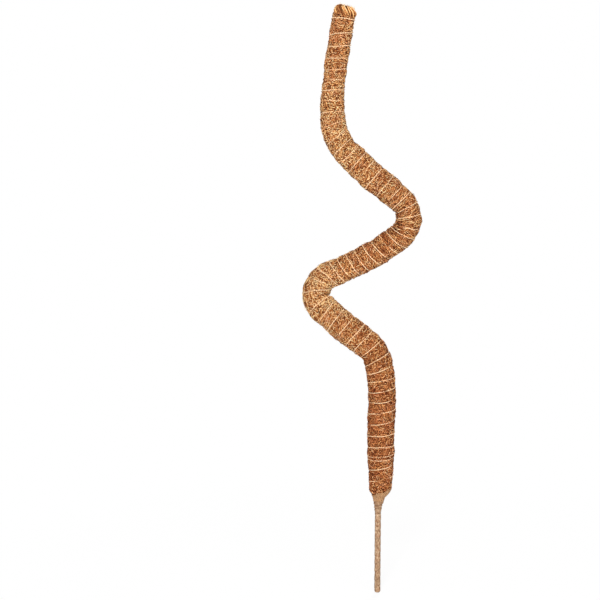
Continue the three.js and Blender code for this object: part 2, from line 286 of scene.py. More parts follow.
# The bends' creases: place, depth and width of each, and place, pitch, depth and width of a fan of them
BEND_CREASES = (
    ((11, 1.2, 5),),
    ((-4, 2.3, 2.4),),
    ((11, 2.6, 1.9), (5, 1.0, 1.5), (-4, 1.6, 1.5), (-12, 2.4, 1.8), (-19, 1.0, 1.3), (-25, 0.9, 1.3)),
    ((-7, 0.9, 4),),
)
BEND_FANS = ((10, 5, 0.3, 16), (0, 5, 0.3, 14), (-10, 3.4, 1.1, 24), (0, 5, 0.2, 16))
CREASE_SLANT = 2.5
CREASE_REACH = 0.5
FAN_REACH = (-1, 0.6)
ROOT_BULGE = 1.3

# How far the mat lies to the right of the wire's course along the pole
MAT_ASIDE = (
    (90, 0), (118, -1.7), (130, -1.3), (149, 1.2), (160, 0.6), (184, -1.1), (196, -1.2), (210, 0.2),
    (234, -0.8), (246, 0), (270, 0.2), (294, 0.8), (320, 0), (338, 0.6), (376, 0), (396, -1.1), (411, 1.0),
    (424, 0.7), (440, 0), (478, -1.0), (490, 0), (514, 0.7), (530, 0.4), (548, -0.6),
)

# How much fuller it is along the pole
MAT_FULLER = (
    (70, 0), (95, 0.3), (150, 0.1), (186, 0.4), (206, 0), (238, 0.4), (254, 0.1), (300, 0.2), (314, 0.7),
    (334, -0.2), (357, -1.0), (374, -0.1), (436, 0.1), (456, 1.1), (472, -0.1), (500, -0.6), (524, 0),
    (542, 0.6),
)


def inner_angle(k):
    """The angle round the pole that faces the inside of a bend."""
    _, _, side, back = course_at(bend_middles[k])
    inward = unit(bend_stretches[k]["after"] - bend_stretches[k]["before"])
    return math.atan2(inward @ back, inward @ side)


inner_angles = [inner_angle(k) for k in range(len(BENDS))]


def bend_shape(way, angle):
    """How far the bends push the mat out, less how far they draw it in."""
    total = 0.0
    for k, stretch in enumerate(bend_stretches):
        facing = np.cos(angle - inner_angles[k])
        inside = np.clip(facing, 0, 1) ** 2
        outside = np.clip(-facing, 0, 1) ** 2
        near = hump(way, bend_middles[k], BEND_SHARE * stretch["length"])
        total = total + near * (BEND_OUT[k] * outside - BEND_IN[k] * inside)
    return total


def bend_crease(way, angle):
    """Depth of the creases that run from the inside of the bends round to their sides."""
    total = 0.0
    for k, creases in enumerate(BEND_CREASES):
        off = angle - inner_angles[k]
        reach = smooth(-CREASE_REACH, 1, np.cos(off))
        slanted = way - bend_middles[k] + CREASE_SLANT * np.sin(2 * off)
        for place, depth, width in creases:
            total = total + depth * reach * hump(slanted, place, width)
        place, pitch, depth, width = BEND_FANS[k]
        ridges = 0.5 + 0.5 * np.cos(TURN * slanted / pitch)
        total = total + depth * smooth(*FAN_REACH, np.cos(off)) * ridges * hump(slanted, place, width)
    return total


def root_bulge(way, angle):
    """The mat's lower end is fuller on its left."""
    return ROOT_BULGE * hump(way, middle=14, width=4) * np.clip(-np.cos(angle), 0, 1)


def surface(way, angle):
    """Radius of the coir's surface: drawn in under the twine, swelling between its turns."""
    swell = 1 - np.exp(-((to_twine(way, angle) / TWINE_BITE) ** 2))
    gathered = smooth(MAT_START + 3, MAT_START + GATHER_LENGTH, way)
    lumps = BIG_LUMP * big_lumps(way, angle) + SMALL_LUMP * small_lumps(way, angle)
    shaped = bend_shape(way, angle) - bend_crease(way, angle) + root_bulge(way, angle)
    shaped = shaped + table_at(way, MAT_FULLER) + table_at(way, MAT_ASIDE) * np.cos(angle)
    return mat_radius(way) - MAT_SUNK + gathered * (MAT_SWELL * swell + lumps) + shaped


# Meshes
def add_object(name, data):
    made = bpy.data.objects.new(name, data)
    bpy.context.scene.collection.objects.link(made)
    return made


def grid_faces(rows, columns):
    """Quads of rings of points, each ring closed."""
    i = np.arange(rows - 1)[:, None]
    k = np.arange(columns)[None, :]
    after = (k + 1) % columns
    corners = [i * columns + k, i * columns + after, (i + 1) * columns + after, (i + 1) * columns + k]
    return np.stack(np.broadcast_arrays(*corners), -1).reshape(-1, 4)


class Shape:
    """Points in millimetres with their faces and values, gathered before one mesh is made of them."""

    def __init__(self):
        self.points = []
        self.faces = []
        self.values = {}
        self.count = 0

    def add(self, points, faces, **values):
        places = points.shape[:-1]
        self.points.append(points.reshape(-1, 3))
        self.faces += [np.asarray(part) + self.count for part in faces]
        self.count += len(self.points[-1])
        for name, value in values.items():
            self.values.setdefault(name, []).append(np.broadcast_to(value, places).ravel())

    def skin(self, rings, **values):
        """A closed tube through rings of points."""
        rows, columns, _ = rings.shape
        first = np.arange(columns)[None, ::-1]
        last = np.arange(columns)[None, :] + (rows - 1) * columns
        self.add(rings, [grid_faces(rows, columns), first, last], **values)

    def wall(self, outer, inner, **values):
        """A closed sleeve with a bore, from rings of points, with the same values outside and inside."""
        rows, columns, _ = outer.shape
        skin = grid_faces(rows, columns)
        bore = skin[:, ::-1] + rows * columns
        k = np.arange(columns)
        after = (k + 1) % columns
        low = np.stack([after, k, k + rows * columns, after + rows * columns], -1)
        base = (rows - 1) * columns
        high = np.stack([k, after, after + rows * columns, k + rows * columns], -1) + base
        for name, value in values.items():
            values[name] = np.concatenate([np.broadcast_to(value, (rows, columns))] * 2)
        self.add(np.concatenate([outer, inner]), [skin, bore, low, high], **values)

    def strands(self, centres, outward, radius, sides, flat=1.0, **values):
        """Many thin closed tubes along lines of points, (strands, points, 3), flattened outward."""
        count, length, _ = centres.shape
        ahead = unit(np.gradient(centres, axis=1))
        across = unit(np.cross(ahead, outward))
        out = flat * np.cross(across, ahead)
        turn = TURN * np.arange(sides) / sides
        ring = np.cos(turn)[:, None] * out[:, :, None, :] + np.sin(turn)[:, None] * across[:, :, None, :]
        points = centres[:, :, None, :] + np.broadcast_to(radius, (count, length))[:, :, None, None] * ring
        first = (np.arange(count) * length * sides)[:, None, None]
        skin = (grid_faces(length, sides)[None] + first).reshape(-1, 4)
        low = first[:, 0] + np.arange(sides)[::-1]
        high = first[:, 0] + (length - 1) * sides + np.arange(sides)
        for name, value in values.items():
            shape = np.shape(value)
            values[name] = np.reshape(value, shape + (1,) * (3 - len(shape)))
        self.add(points, [skin, low, high], **values)

    def make(self, name, material):
        """The object, in metres, with its rest place in millimetres kept for the materials."""
        points = np.concatenate(self.points)
        faces = [face for part in self.faces for face in part.tolist()]
        mesh = bpy.data.meshes.new(name)
        mesh.from_pydata(points * MM, [], faces, shade_flat=False)
        mesh.validate()
        rest = mesh.attributes.new("rest", "FLOAT_VECTOR", "POINT")
        rest.data.foreach_set("vector", points.astype(np.float32).ravel())
        for value_name, parts in self.values.items():
            kept = mesh.attributes.new(value_name, "FLOAT", "POINT")
            kept.data.foreach_set("value", np.concatenate(parts).astype(np.float32))
        mesh.materials.append(material)
        return add_object(name, mesh)


# Materials
def colour(red, green, blue):
    """A linear colour from one written as it looks on a screen, 0 to 255."""

    def linear(value):
        value /= 255
        return value / 12.92 if value <= 0.04045 else ((value + 0.055) / 1.055) ** 2.4

    return (linear(red), linear(green), linear(blue), 1.0)


class Paint:
    """The nodes of a material or of the world, and short ways to add to them."""

    def __init__(self, name, kind=bpy.data.materials):
        self.block = kind.new(name)
        self.block.use_nodes = True
        self.links = self.block.node_tree.links
        self.nodes = self.block.node_tree.nodes

    def put(self, socket, value):
        if isinstance(value, bpy.types.NodeSocket):
            self.links.new(value, socket)
        else:
            socket.default_value = value

    def node(self, kind, inputs=None, **settings):
        made = self.nodes.new(kind)
        for name, value in settings.items():
            setattr(made, name, value)
        for key, value in (inputs or {}).items():
            self.put(made.inputs[key], value)
        return made

    def value(self, name):
        return self.node("ShaderNodeAttribute", attribute_name=name).outputs["Fac"]

    def noise(self, scale, detail=3.0, roughness=0.55, stretch=(1, 1, 1), place=None):
        """Noise over another place, or over the rest place in millimetres times a factor along each axis."""
        if place is None:
            rest = self.node("ShaderNodeAttribute", attribute_name="rest").outputs["Vector"]
            place = self.node("ShaderNodeVectorMath", {0: rest, 1: stretch}, operation="MULTIPLY").outputs[0]
        inputs = {"Vector": place, "Scale": scale, "Detail": detail, "Roughness": roughness}
        return self.node("ShaderNodeTexNoise", inputs).outputs[0]

    def math(self, operation, first, second=0.0):
        return self.node("ShaderNodeMath", {0: first, 1: second}, operation=operation).outputs[0]

    def times(self, first, second):
        return self.math("MULTIPLY", first, second)

    def spread(self, value, low, high, to_low=0.0, to_high=1.0):
        """A value from one range taken to another."""
        inputs = {0: value, 1: low, 2: high, 3: to_low, 4: to_high}
        return self.node("ShaderNodeMapRange", inputs).outputs[0]

    def ramp(self, value, *stops, light=1.0):
        """Colours over a value, each stop with its place, red, green and blue."""
        made = self.node("ShaderNodeValToRGB", {0: value})
        band = made.color_ramp
        while len(band.elements) < len(stops):
            band.elements.new(1.0)
        for element, (place, *tone) in zip(band.elements, stops):
            element.position = place
            element.color = colour(*[light * part for part in tone])
        return made.outputs[0]

    def mix(self, share, first, second, blend="MIX"):
        inputs = {0: share, 6: first, 7: second}
        return self.node("ShaderNodeMix", inputs, data_type="RGBA", blend_type=blend).outputs[2]

    def bump(self, height, distance):
        inputs = {"Height": height, "Distance": distance * MM}
        return self.node("ShaderNodeBump", inputs).outputs[0]

    def seen(self):
        """1 for rays from the camera, straight or by way of gloss or glass, and 0 for other light."""
        rays = self.node("ShaderNodeLightPath").outputs
        either = self.math("MAXIMUM", rays["Is Camera Ray"], rays["Is Glossy Ray"])
        return self.math("MAXIMUM", either, rays["Is Transmission Ray"])

    def finish(self, base, roughness, normal=None, *, specular, metallic=0.0):
        inputs = self.nodes["Principled BSDF"].inputs
        self.put(inputs["Base Color"], base)
        self.put(inputs["Roughness"], roughness)
        self.put(inputs["Specular IOR Level"], specular)
        self.put(inputs["Metallic"], metallic)
        if normal is not None:
            self.put(inputs["Normal"], normal)
        return self.block


def coir_paint(name, light):
    """Packed coir under the loose fibres: dark, streaked, pitted; its darkness is partly painted shade for
    the spaces between the loose fibres.
    """
    paint = Paint(name)
    streaks = paint.noise(0.7, detail=4.0, roughness=0.7, stretch=(1, 1, 0.6))
    patches = paint.noise(0.07, detail=2.0)
    tones = ((0.38, 76, 37, 16), (0.53, 138, 80, 40), (0.7, 194, 126, 72))
    shade = paint.ramp(streaks, *tones, light=light)
    shade = paint.mix(paint.spread(patches, 0.4, 0.65, 0, 0.4), shade, colour(124, 66, 34))
    rough = paint.spread(streaks, 0.3, 0.7, 0.98, 0.85)
    return paint.finish(shade, rough, paint.bump(streaks, 0.8), specular=0.06)


ROSY = (0.93, 0.76, 0.8, 1.0)
REDDER = (0.86, 0.72, 0.72, 1.0)
GOLDEN = (1.0, 1.11, 1.11, 1.0)


def fibre_paint(name, reddest):
    """Loose coir fibres: each its own shade, with redder patches, and more golden where lighter along the
    pole, partly painted light.
    """
    paint = Paint(name)
    patches = paint.noise(0.06, detail=2.0)
    along = paint.noise(1.6, detail=2.0)
    tint = paint.math("ADD", paint.value("tint"), paint.spread(along, 0.25, 0.75, -0.12, 0.12))
    darker = ((0.0, 74, 28, 6), (0.25, 150, 86, 46))
    lighter = ((0.5, 204, 134, 80), (0.75, 238, 178, 114), (1.0, 253, 215, 162))
    shade = paint.ramp(tint, *darker, *lighter)
    shade = paint.mix(paint.spread(patches, 0.45, 0.7, 0, reddest), shade, REDDER, "MULTIPLY")
    shade = paint.mix(paint.value("golden"), shade, GOLDEN, "MULTIPLY")
    shade = paint.mix(paint.value("rosy"), shade, ROSY, "MULTIPLY")
    rough = paint.spread(along, 0.25, 0.75, 0.6, 0.9)
    return paint.finish(shade, rough, paint.bump(along, 0.15), specular=0.12)


def twine_paint():
    """Pale two-ply twine, with darker fibres in its lay, and as brown as the coir where it is faded."""
    paint = Paint("twine")
    fine = paint.noise(2.2)
    slow = paint.noise(0.12, detail=2.0)
    shade = paint.ramp(fine, (0.3, 200, 151, 106), (0.5, 234, 197, 155), (0.75, 250, 225, 190))
    shade = paint.mix(paint.spread(slow, 0.45, 0.7, 0, 0.6), shade, colour(208, 156, 116))
    shade = paint.mix(paint.value("faded"), shade, colour(196, 142, 96))
    rough = paint.spread(fine, 0.3, 0.7, 0.9, 0.7)
    return paint.finish(shade, rough, paint.bump(fine, 0.2), specular=0.25)


def weave(paint, across, along):
    """Height of a plain weave, from 0 to 1, from two thread counts that grow along the cloth."""
    first = paint.math("SINE", paint.times(across, math.pi))
    second = paint.math("SINE", paint.times(along, math.pi))
    over = paint.math("GREATER_THAN", paint.times(first, second), 0.0)
    one = paint.times(paint.math("ABSOLUTE", first), over)
    other = paint.times(paint.math("ABSOLUTE", second), paint.math("SUBTRACT", 1.0, over))
    return paint.math("ADD", one, other)


def jute_paint(name, thread_gap_shade, worn):
    """Plain-woven jute, its threads uneven in tone, darker between threads as painted shade, redder and
    darker in hollows, partly its own tone and partly painted shade, and more orange where it is warm.
    """
    paint = Paint(name)
    threads = weave(paint, paint.value("threads_across"), paint.value("threads_along"))
    slubs = paint.noise(0.8, stretch=(1, 1, 0.5))
    stains = paint.noise(0.12)
    bands = paint.noise(0.3, stretch=(0.12, 0.12, 1))
    shade = paint.ramp(slubs, (0.32, 112, 80, 56), (0.5, 182, 146, 114), (0.7, 218, 187, 154))
    shade = paint.mix(paint.times(paint.value("warmth"), 0.6), shade, colour(212, 162, 106))
    shade = paint.mix(paint.spread(bands, 0.52, 0.68, 0, worn), shade, colour(168, 118, 88))
    shade = paint.mix(paint.spread(bands, 0.46, 0.34, 0, worn), shade, colour(222, 192, 160))
    # Hollows: partly the cloth's redder tone, partly painted shade.
    shade = paint.mix(paint.times(paint.value("hollow"), 0.7), shade, colour(124, 82, 60))
    shade = paint.mix(paint.spread(stains, 0.45, 0.7, 0, 0.4), shade, colour(140, 110, 80))
    # Painted shade between the threads of the weave.
    shade = paint.mix(paint.spread(threads, 0.0, 0.7, thread_gap_shade, 0.0), shade, colour(104, 72, 44))
    height = paint.math("ADD", threads, paint.times(slubs, 0.6))
    rough = paint.spread(slubs, 0.3, 0.7, 0.95, 0.8)
    return paint.finish(shade, rough, paint.bump(height, 0.25), specular=0.2)


def iron_paint():
    """Drawn soft iron wire, a little grey and scratched along its length."""
    paint = Paint("iron_wire")
    scratches = paint.noise(1.2, stretch=(3, 3, 0.15))
    shade = paint.ramp(scratches, (0.3, 96, 97, 99), (0.7, 156, 157, 160))
    rough = paint.spread(scratches, 0.3, 0.7, 0.3, 0.55)
    return paint.finish(shade, rough, paint.bump(scratches, 0.05), specular=0.5, metallic=1.0)


# The packed coir's dark tones stand partly for painted shade between the loose fibres; the tuft's copy is
# darker still.
coir = coir_paint("coir", light=1.0)
tuft_coir = coir_paint("tuft_coir", light=0.78)
fibre = fibre_paint("coir_fibre", reddest=0.7)
tuft_fibre = fibre_paint("coir_tuft_fibre", reddest=0.0)
twine = twine_paint()
jute = jute_paint("jute_cloth", thread_gap_shade=0.3, worn=0.3)
tape = jute_paint("jute_tape", thread_gap_shade=0.8, worn=0.6)
iron = iron_paint()

# Zones: each long layer is made in four pieces, one for each bend, cut where the pole doesn't bend
PAST_FIRST_BEND = 10
BEFORE_LAST_BEND = 14
ZONE_ENDS = (
    bend_stretches[0]["to"] + PAST_FIRST_BEND,
    (bend_stretches[1]["to"] + bend_stretches[2]["from"]) / 2,
    bend_stretches[3]["from"] - BEFORE_LAST_BEND,
)
ZONE_NODES = [[name, f"bend_{k + 1}"] for k, name in enumerate(LENGTHS[:-1])]
ZONE_NODES[-1].append(LENGTHS[-1])
BODIES = [name + "_length" for name in LENGTHS]


def zone_span(zone, start, end):
    limits = (start, *ZONE_ENDS, end)
    return limits[zone], limits[zone + 1]


def bend_with(made, zone, layer=None):
    """The piece is fixed in world space, and stands for the zone's nodes of the CAD layer of that name, if
    one is given.
    """
    middle = course_at(bend_middles[zone])[0]
    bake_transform(made)
    if layer:
        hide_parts(*[f"{layer}_{name}" for name in ZONE_NODES[zone]])
    return made


def rings_of(ways, sides, radius_at):
    angle = TURN * np.arange(sides)[None, :] / sides
    way = ways[:, None]
    return around(way, angle, radius_at(way, angle))[0]


def evenly(start, end, step):
    return np.linspace(start, end, max(2, math.ceil((end - start) / step) + 1))


# Core wire and inner padding, hidden inside the mat
CORE_STEP = 2.0
WIRE_TIP_COVER = 1.3
WIRE_SHORT_OF_TOP = 4
CLEARANCE = 0.3
PADDING_START = 16
PADDING_SIDES = 24
PADDING_TO_MAT = 0.4
PADDING_LUMP = 0.15
padding_lumps = uneven(seed=21, wavelength=14)


def bore_radius(way):
    """Radius inside the mat, clear of the stake's tape."""
    stake = TAPE_BORE + 2 * TAPE_THICKNESS + CLEARANCE
    return np.maximum(stake, mat_radius(way) - MAT_THICKNESS)


def padding_radius(way, angle):
    return bore_radius(way) - PADDING_TO_MAT - PADDING_LUMP * padding_lumps(way, angle) ** 2


for zone in range(len(BENDS)):
    span = zone_span(zone, -STAKE_LENGTH + WIRE_TIP_COVER, MAT_END - WIRE_SHORT_OF_TOP)
    shape = Shape()
    ways = evenly(*span, CORE_STEP)
    shape.skin(rings_of(ways, sides=12, radius_at=lambda way, angle: WIRE_RADIUS))
    bend_with(shape.make(f"core_wire_zone_{zone + 1}", iron), zone, "core_wire")

    ways = evenly(*zone_span(zone, PADDING_START, MAT_END), CORE_STEP)
    outer = rings_of(ways, PADDING_SIDES, padding_radius)
    inner = rings_of(ways, PADDING_SIDES, lambda way, angle: WIRE_RADIUS + CLEARANCE)
    shape = Shape()
    shape.wall(outer, inner)
    bend_with(shape.make(f"inner_padding_zone_{zone + 1}", coir), zone, "inner_padding")

# Coir mat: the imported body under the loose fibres
MAT_SIDES = 72
MAT_STEP = 0.9
for zone in range(len(BENDS)):
    ways = evenly(*zone_span(zone, MAT_START, MAT_END), MAT_STEP)
    outer = rings_of(ways, MAT_SIDES, surface)
    inner = rings_of(ways, MAT_SIDES, lambda way, angle: bore_radius(way))
    shape = Shape()
    shape.wall(outer, inner)
    made = bend_with(shape.make(f"coir_mat_zone_{zone + 1}", coir), zone, "coir_mat")

# Loose coir fibres on the mat, in bundles of a pale fibre and a dark one, the dark one partly painted shade
# beside the pale one; tints go from 0, dark, to 1, pale
BUNDLES = 15500
BUNDLE_FIBRES = 2
BUNDLE_GAP = 0.85
BUNDLE_SHADES = np.array((0.36, -0.46))
BUNDLE_LIFT = (0.08, 0.45)
BUNDLE_TINT = 0.46
BUNDLE_TINT_SPREAD = 0.06
PIT_EDGES = (-0.4, 1.2)
PIT_DARK = 0.03
PIT_SPREAD = 0.05
EVEN_STEPS = (0.7548776662, 0.5698402910)
FANNED_LONGER = 0.5
FANNED_BEND = 2
FANNED_BELOW = 8
FANNED_EVENER = 0.12
CROSSWISE_SHARE = 0.25
CROSSWISE_MORE = 0.68
CROSSWISE_LONGER = 1.35
CROSSWISE_TILT = 0.15
CROSSWISE_SPREAD = 0.3
CROSSWISE_CURL = 0.4
DARK_SHARE = 0.06
DARK_SHORTER = 0.7
DARK_LIFT = 0.2
DARK_FIBRES = 0.1
LOOSE_SHARE = 0.06
LOOSE_LIFT = 0.5
ROSY_SHARE = 0.26
ROSY_PATCHES = 0.3
ROSY_SPREAD = 0.25
ROSY_LESS = 2.5
CREASE_PAINTED_SHADE = 0.3
# Painted shade on the left of the lower stretches, and the ways where it fades out.
LOWER_LEFT_SHADE = 0.1
LOWER_LEFT_SHADE_ENDS = (130, 90)
# Lighter by the lengths and bends in turn, partly the coir's tone and partly painted light.
PALER_AND_LIT = (-0.1, -0.04, 0.09, 0.37, -0.03, 0.07, 0.085, 0.21, 0.05)
GOLDEN_SHARE = 0.45
GOLDEN_MORE = 4
FIBRES_START = 12.5
FIBRE_POINTS = 4
FIBRE_SIDES = 3
FIBRE_TAPER = np.array((0.55, 1.0, 1.0, 0.55))
FIBRE_STANDS = 0.5
FIBRE_FLAT = 0.5
FIBRE_LENGTH = (0.75, 1.05)
FIBRE_TINT = 0.14
FIBRE_ASIDE = 0.1
FIBRE_TURN = 0.07
FIBRE_LIFT = 0.05
FIBRE_END_SUNK = 0.2
FIBRE_OVERHANG = 1
pits = uneven(seed=32, wavelength=13, most_round=6)
rosiness = uneven(seed=33, wavelength=14, most_round=5)


def fibre_lines(way, angle, direction, curl, length):
    """Ways and angles along fibres that lie on the mat, from their middles, directions and curls."""
    share = np.linspace(-0.5, 0.5, FIBRE_POINTS)
    between = (share[1:] + share[:-1]) / 2
    turn = direction[:, None] + curl[:, None] * between
    step = length[:, None] / (FIBRE_POINTS - 1)
    across = np.cumsum(np.concatenate([0 * step, np.cos(turn) * step], 1), 1)
    along = np.cumsum(np.concatenate([0 * step, np.sin(turn) * step], 1), 1)
    across = across - across.mean(1, keepdims=True)
    along = along - along.mean(1, keepdims=True)
    return way[:, None] + along, angle[:, None] + across / (mat_radius(way)[:, None] + FIBRE_STANDS)


pale_ways = [stretch["from"] + stretch["length"] / 2 for stretch in stretches[len(NECK) : -1]]


def paler_and_lit(way):
    """How much lighter the coir is here, by the lengths and bends in turn: partly its own tone, partly
    painted light where the pole faces the light.
    """
    return np.interp(way, pale_ways, PALER_AND_LIT)


# More golden where the coir is lighter, so this also carries that painted light in part.
def golden(way):
    return np.clip(GOLDEN_SHARE + GOLDEN_MORE * paler_and_lit(way), 0, 1)


# Places and directions of the bundles: every way, and mostly across where they fan out below a bend
rng = np.random.default_rng(31)
bundle_way = FIBRES_START + (MAT_END - FIBRES_START) * (EVEN_STEPS[0] * np.arange(BUNDLES) % 1)
bundle_angle = TURN * (EVEN_STEPS[1] * np.arange(BUNDLES) % 1)
every_way = rng.uniform(0, math.pi, BUNDLES)
fanned = hump(bundle_way, middle=bend_middles[FANNED_BEND] - FANNED_BELOW, width=30)
crosswise = rng.random(BUNDLES) < CROSSWISE_SHARE + CROSSWISE_MORE * fanned
across_way = rng.normal(CROSSWISE_TILT, CROSSWISE_SPREAD - FANNED_EVENER * fanned)
bundle_direction = np.where(crosswise, across_way, every_way)
bundle_curl = rng.normal(0, 0.9, BUNDLES) * np.where(crosswise, CROSSWISE_CURL, 1)
bundle_length = rng.uniform(2.2, 5.2, BUNDLES)

# Tints of the bundles
# Partly the coir's tone, partly painted light where the pole faces the light.
bundle_paler_and_lit = paler_and_lit(bundle_way)
pitted = smooth(*PIT_EDGES, pits(bundle_way, bundle_angle))
bundle_tint = rng.normal(BUNDLE_TINT - PIT_DARK * pitted, BUNDLE_TINT_SPREAD + PIT_SPREAD * pitted)
bundle_rosy = ROSY_SHARE + ROSY_PATCHES * rosiness(bundle_way, bundle_angle)
bundle_rosy = bundle_rosy + rng.normal(0, ROSY_SPREAD, BUNDLES)
bundle_rosy = np.clip(bundle_rosy - ROSY_LESS * bundle_paler_and_lit, 0, 1)
# Painted shade on the left side of the lower stretches.
lower_left_shade = np.clip(-np.cos(bundle_angle), 0, 1) * smooth(*LOWER_LEFT_SHADE_ENDS, bundle_way)
# Painted shade darkens the bundles in the bends' creases.
bundle_tint = bundle_tint + bundle_paler_and_lit - CREASE_PAINTED_SHADE * bend_crease(bundle_way, bundle_angle)
bundle_tint = bundle_tint - LOWER_LEFT_SHADE * lower_left_shade
bundle_dark = rng.random(BUNDLES) < DARK_SHARE
bundle_tint = np.clip(np.where(bundle_dark, 0, bundle_tint), 0, 1)

# Lengths and lifts of the bundles
bundle_length = bundle_length * np.where(bundle_dark, DARK_SHORTER, 1)
bundle_length = bundle_length * np.where(crosswise, CROSSWISE_LONGER + FANNED_LONGER * fanned, 1)
bundle_lift = rng.uniform(*BUNDLE_LIFT, BUNDLES) + DARK_LIFT * bundle_dark
bundle_lift = bundle_lift + LOOSE_LIFT * (rng.random(BUNDLES) < LOOSE_SHARE)

# The bundles' fibres
count = BUNDLES * BUNDLE_FIBRES
bundle = np.repeat(np.arange(BUNDLES), BUNDLE_FIBRES)
offset = (np.tile(np.arange(BUNDLE_FIBRES), BUNDLES) - 0.5) * BUNDLE_GAP + rng.normal(0, FIBRE_ASIDE, count)
direction = bundle_direction[bundle] + rng.normal(0, FIBRE_TURN, count)
way = bundle_way[bundle] + offset * np.cos(direction)
angle = bundle_angle[bundle] - offset * np.sin(direction) / (mat_radius(bundle_way[bundle]) + FIBRE_STANDS)
length = bundle_length[bundle] * rng.uniform(*FIBRE_LENGTH, count)
bundle_contrast = rng.uniform(0.2, 1.35, BUNDLES)
tint = bundle_tint[bundle] + np.tile(BUNDLE_SHADES, BUNDLES) * bundle_contrast[bundle]
tint = np.clip(tint + rng.normal(0, FIBRE_TINT, count), 0, 1)
tint = np.where(rng.random(count) < DARK_FIBRES, 0, tint)
fibre_way, fibre_angle = fibre_lines(way, angle, direction, bundle_curl[bundle], length)
fibre_way = np.clip(fibre_way, FIBRES_START - FIBRE_OVERHANG, MAT_END + FIBRE_OVERHANG)
ends = np.linspace(-1, 1, FIBRE_POINTS) ** 2
lift = bundle_lift[bundle][:, None] * (1 - ends) - FIBRE_END_SUNK * ends
lift = lift + rng.normal(0, FIBRE_LIFT, (count, 1))
fibre_line, fibre_out = around(fibre_way, fibre_angle, surface(fibre_way, fibre_angle) + lift)
fibre_radius = rng.uniform(0.18, 0.3, count)[:, None] * FIBRE_TAPER

# Stray hairs that stand off the mat
HAIRS = 420
HAIRS_START = 16.5
HAIR_RISE = 1.6
HAIR_SUNK = 0.2
HAIR_RADIUS = 0.11
HAIR_TIP = 0.45
hair_way = rng.uniform(HAIRS_START, MAT_END, HAIRS)
hair_angle = rng.uniform(0, TURN, HAIRS)
hair_direction = rng.uniform(0, TURN, HAIRS)
hair_curl = rng.normal(0, 1.4, HAIRS)
hair_length = rng.uniform(4, 8, HAIRS)
hair_lines = fibre_lines(hair_way, hair_angle, hair_direction, hair_curl, hair_length)
hair_rise = np.linspace(0, 1, FIBRE_POINTS) ** HAIR_RISE
hair_lift = rng.uniform(0.8, 2.2, HAIRS)[:, None] * hair_rise - HAIR_SUNK
hair_line, hair_out = around(*hair_lines, surface(*hair_lines) + hair_lift)
hair_radius = HAIR_RADIUS * np.linspace(1, HAIR_TIP, FIBRE_POINTS)[None, :]
hair_tint = rng.uniform(0.4, 0.95, HAIRS)

for zone in range(len(BENDS)):
    here = np.searchsorted(ZONE_ENDS, way) == zone
    there = np.searchsorted(ZONE_ENDS, hair_way) == zone
    fibre_looks = {"tint": tint[here], "golden": golden(way[here]), "rosy": bundle_rosy[bundle[here]]}
    hair_looks = {"tint": hair_tint[there], "golden": golden(hair_way[there]), "rosy": 0}
    shape = Shape()
    lines = (fibre_line[here], fibre_out[here], fibre_radius[here])
    shape.strands(*lines, FIBRE_SIDES, FIBRE_FLAT, **fibre_looks)
    shape.strands(hair_line[there], hair_out[there], hair_radius, FIBRE_SIDES, **hair_looks)
    bend_with(shape.make(f"coir_fibres_zone_{zone + 1}", fibre), zone)

# Binding twine: two plies laid round each other, wound over the mat and biting into it
PLY_RADIUS = 0.245
PLY_OFFSET = 0.185
PLY_LAY = 4.6
TWINE_SIDES = 6
TWINE_STEPS = 120
TWINE_STANDS = 0.3
TWINE_UNEVEN = 0.36
TWINE_LOOSER = 0.45
LOOSER_FROM = (500, 530)
TWINE_FADED = ((428, 0), (446, 0.8), (512, 0.8), (528, 0))
FADED_SHARE = 0.6
FADED_UNEVEN = 0.5
turned = np.linspace(0, TURN * TWINE_TURNS, TWINE_STEPS * TWINE_TURNS + 1)
wound_way = twine_way(turned)
wound_angle = TWINE_FIRST_ANGLE + turned
twine_lumps = uneven(seed=41, wavelength=17, most_round=3)(wound_way, wound_angle)
sits = surface(wound_way, wound_angle) + TWINE_STANDS + TWINE_UNEVEN * twine_lumps
sits = sits + TWINE_LOOSER * smooth(*LOOSER_FROM, wound_way)
faded = table_at(wound_way, TWINE_FADED) * np.clip(FADED_SHARE - FADED_UNEVEN * twine_lumps, 0, 1)
wound_line, wound_out = around(wound_way, wound_angle, sits)
wound_ahead = unit(np.gradient(wound_line, axis=0))
wound_across = unit(np.cross(wound_ahead, wound_out))
wound_length = np.concatenate([[0], np.cumsum(np.linalg.norm(np.diff(wound_line, axis=0), axis=1))])


def ply_line(start, steps):
    """One ply's line over a slice of the winding's steps."""
    lay = TURN * wound_length[steps] / PLY_LAY + start
    outward = np.cos(lay)[:, None] * wound_out[steps] + np.sin(lay)[:, None] * wound_across[steps]
    return wound_line[steps] + PLY_OFFSET * outward


zone_steps = (0, *np.searchsorted(wound_way, ZONE_ENDS), len(turned) - 1)
for zone in range(len(BENDS)):
    steps = slice(zone_steps[zone], zone_steps[zone + 1] + 1)
    shape = Shape()
    for start in (0, math.pi):
        line = ply_line(start, steps)[None]
        shape.strands(line, wound_out[None, steps], PLY_RADIUS, TWINE_SIDES, faded=faded[None, steps])
    bend_with(shape.make(f"binding_twine_zone_{zone + 1}", twine), zone, "binding_twine")


def ride_on(made, body, slot, *nodes):
    """The piece rides on one body, and stands for these CAD nodes."""
    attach(made, body)
    if nodes:
        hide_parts(*nodes)
    return made


# Knots where the winding starts and ends, at the back, each with a short tail
KNOT_SCALE = (0.42, 0.34, 0.05)
KNOT_REACH = 2.15
KNOT_PLACE = (2.2, 0.9)
KNOT_RADIUS = 0.5
TAIL_LENGTH = 7
TAIL_SLANT = (0.8, 0.6)
TAIL_DROOP = 1.6


